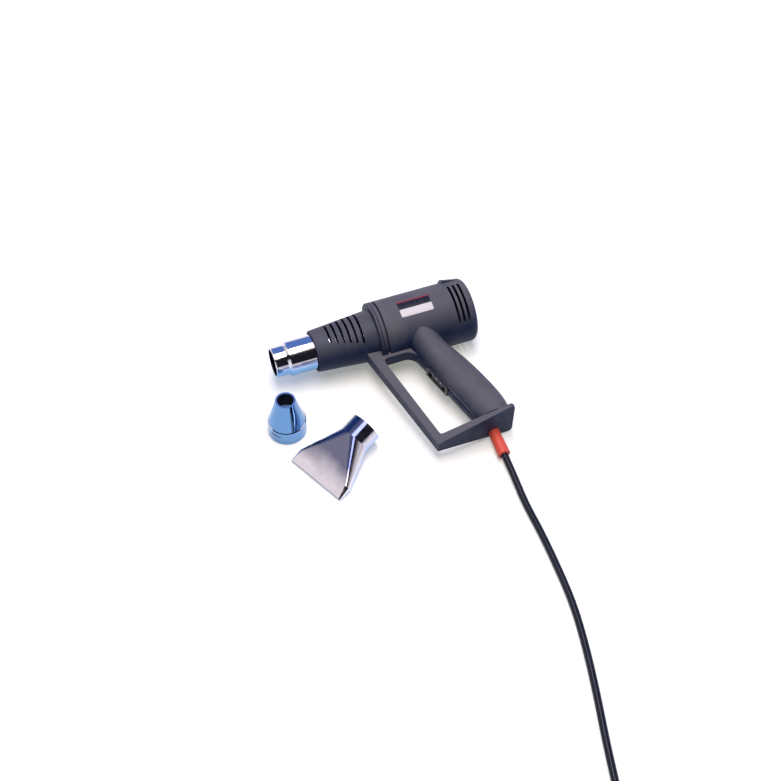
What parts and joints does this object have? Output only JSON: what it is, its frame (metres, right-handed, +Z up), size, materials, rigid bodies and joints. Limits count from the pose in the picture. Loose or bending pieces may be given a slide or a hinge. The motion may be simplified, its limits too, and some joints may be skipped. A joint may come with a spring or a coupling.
{
  "type": "embossing heat tool",
  "caption": "Corded hot-air gun with a guarded pistol handle, lying on its side beside a cone nozzle and a flat fishtail nozzle.",
  "frame": {"origin": "on the floor, under the middle of the box round the gun and its two nozzles", "axes": "+X along the barrel from the outlet to the rear, +Y from the handle's foot to the barrel, +Z up from the floor that the gun lies on"},
  "size_m": [0.2617, 0.6975, 0.0691],
  "materials": {
    "case_plastic": "fine moulded grain",
    "chromed_steel": "polished",
    "zinc_steel": "plain",
    "resistance_wire": "oxidised",
    "mica": "pearly",
    "former_ceramic": "unglazed",
    "magnet_ferrite": "dull",
    "bush_bronze": "sintered",
    "pin_brass": "bright",
    "board_plastic": "dull",
    "label_film": "printed film",
    "bezel_plastic": "half gloss",
    "boot_rubber": "orange red, half gloss",
    "cord_rubber": "half gloss"
  },
  "bodies": {
    "gun": {"upper_case": "case_plastic", "lower_case": "case_plastic", "case_screws": "zinc_steel", "label_plate": "label_film", "front_shroud": "case_plastic", "outlet_tube": "chromed_steel", "tube_ring": "zinc_steel", "tube_screws": "zinc_steel", "mica_sleeve": "mica", "heater_former": "former_ceramic", "heater_strands": "resistance_wire", "heater_discs": "mica", "heater_rod": "zinc_steel", "rod_nut": "zinc_steel", "cutout_bracket": "zinc_steel", "thermal_cutout": "board_plastic", "motor_can": "zinc_steel", "motor_cap": "board_plastic", "motor_bushes": "bush_bronze", "motor_magnets": "magnet_ferrite", "motor_mount": "case_plastic", "rectifier_board": "board_plastic", "switch_bezel": "bezel_plastic", "switch_body": "case_plastic", "cord_boot": "boot_rubber", "cord_tail": "cord_rubber", "cord_clamp": "board_plastic", "clamp_screws": "zinc_steel", "cord_run": "cord_rubber", "cord_coil": "cord_rubber", "cord_end": "cord_rubber", "plug_body": "cord_rubber", "plug_blades": "pin_brass", "ground_pin": "pin_brass"},
    "fan": {"fan_wheel": "case_plastic", "motor_shaft": "zinc_steel", "armature": "zinc_steel"},
    "slider": {"switch_slider": "bezel_plastic"},
    "cone": {"cone_nozzle": "chromed_steel"},
    "fishtail": {"fishtail_nozzle": "chromed_steel"}
  },
  "joints": [
    {"name": "fan_spin", "type": "hinge", "parent": "gun", "child": "fan", "pos_m": [0.05375, 0.06585, 0.0342], "axis": [1, 0, 0], "continuous": true},
    {"name": "switch_slide", "type": "slide", "parent": "gun", "child": "slider", "axis": [0.304, -0.9503, -0.0677], "range_m": [-0.0045, 0.0045]},
    {"name": "cone_lift", "type": "slide", "parent": "gun", "child": "cone", "axis": [0, 0, 1], "range_m": [0, 0.12]},
    {"name": "fishtail_lift", "type": "slide", "parent": "gun", "child": "fishtail", "axis": [0, 0, 1], "range_m": [0, 0.12]}
  ]
}
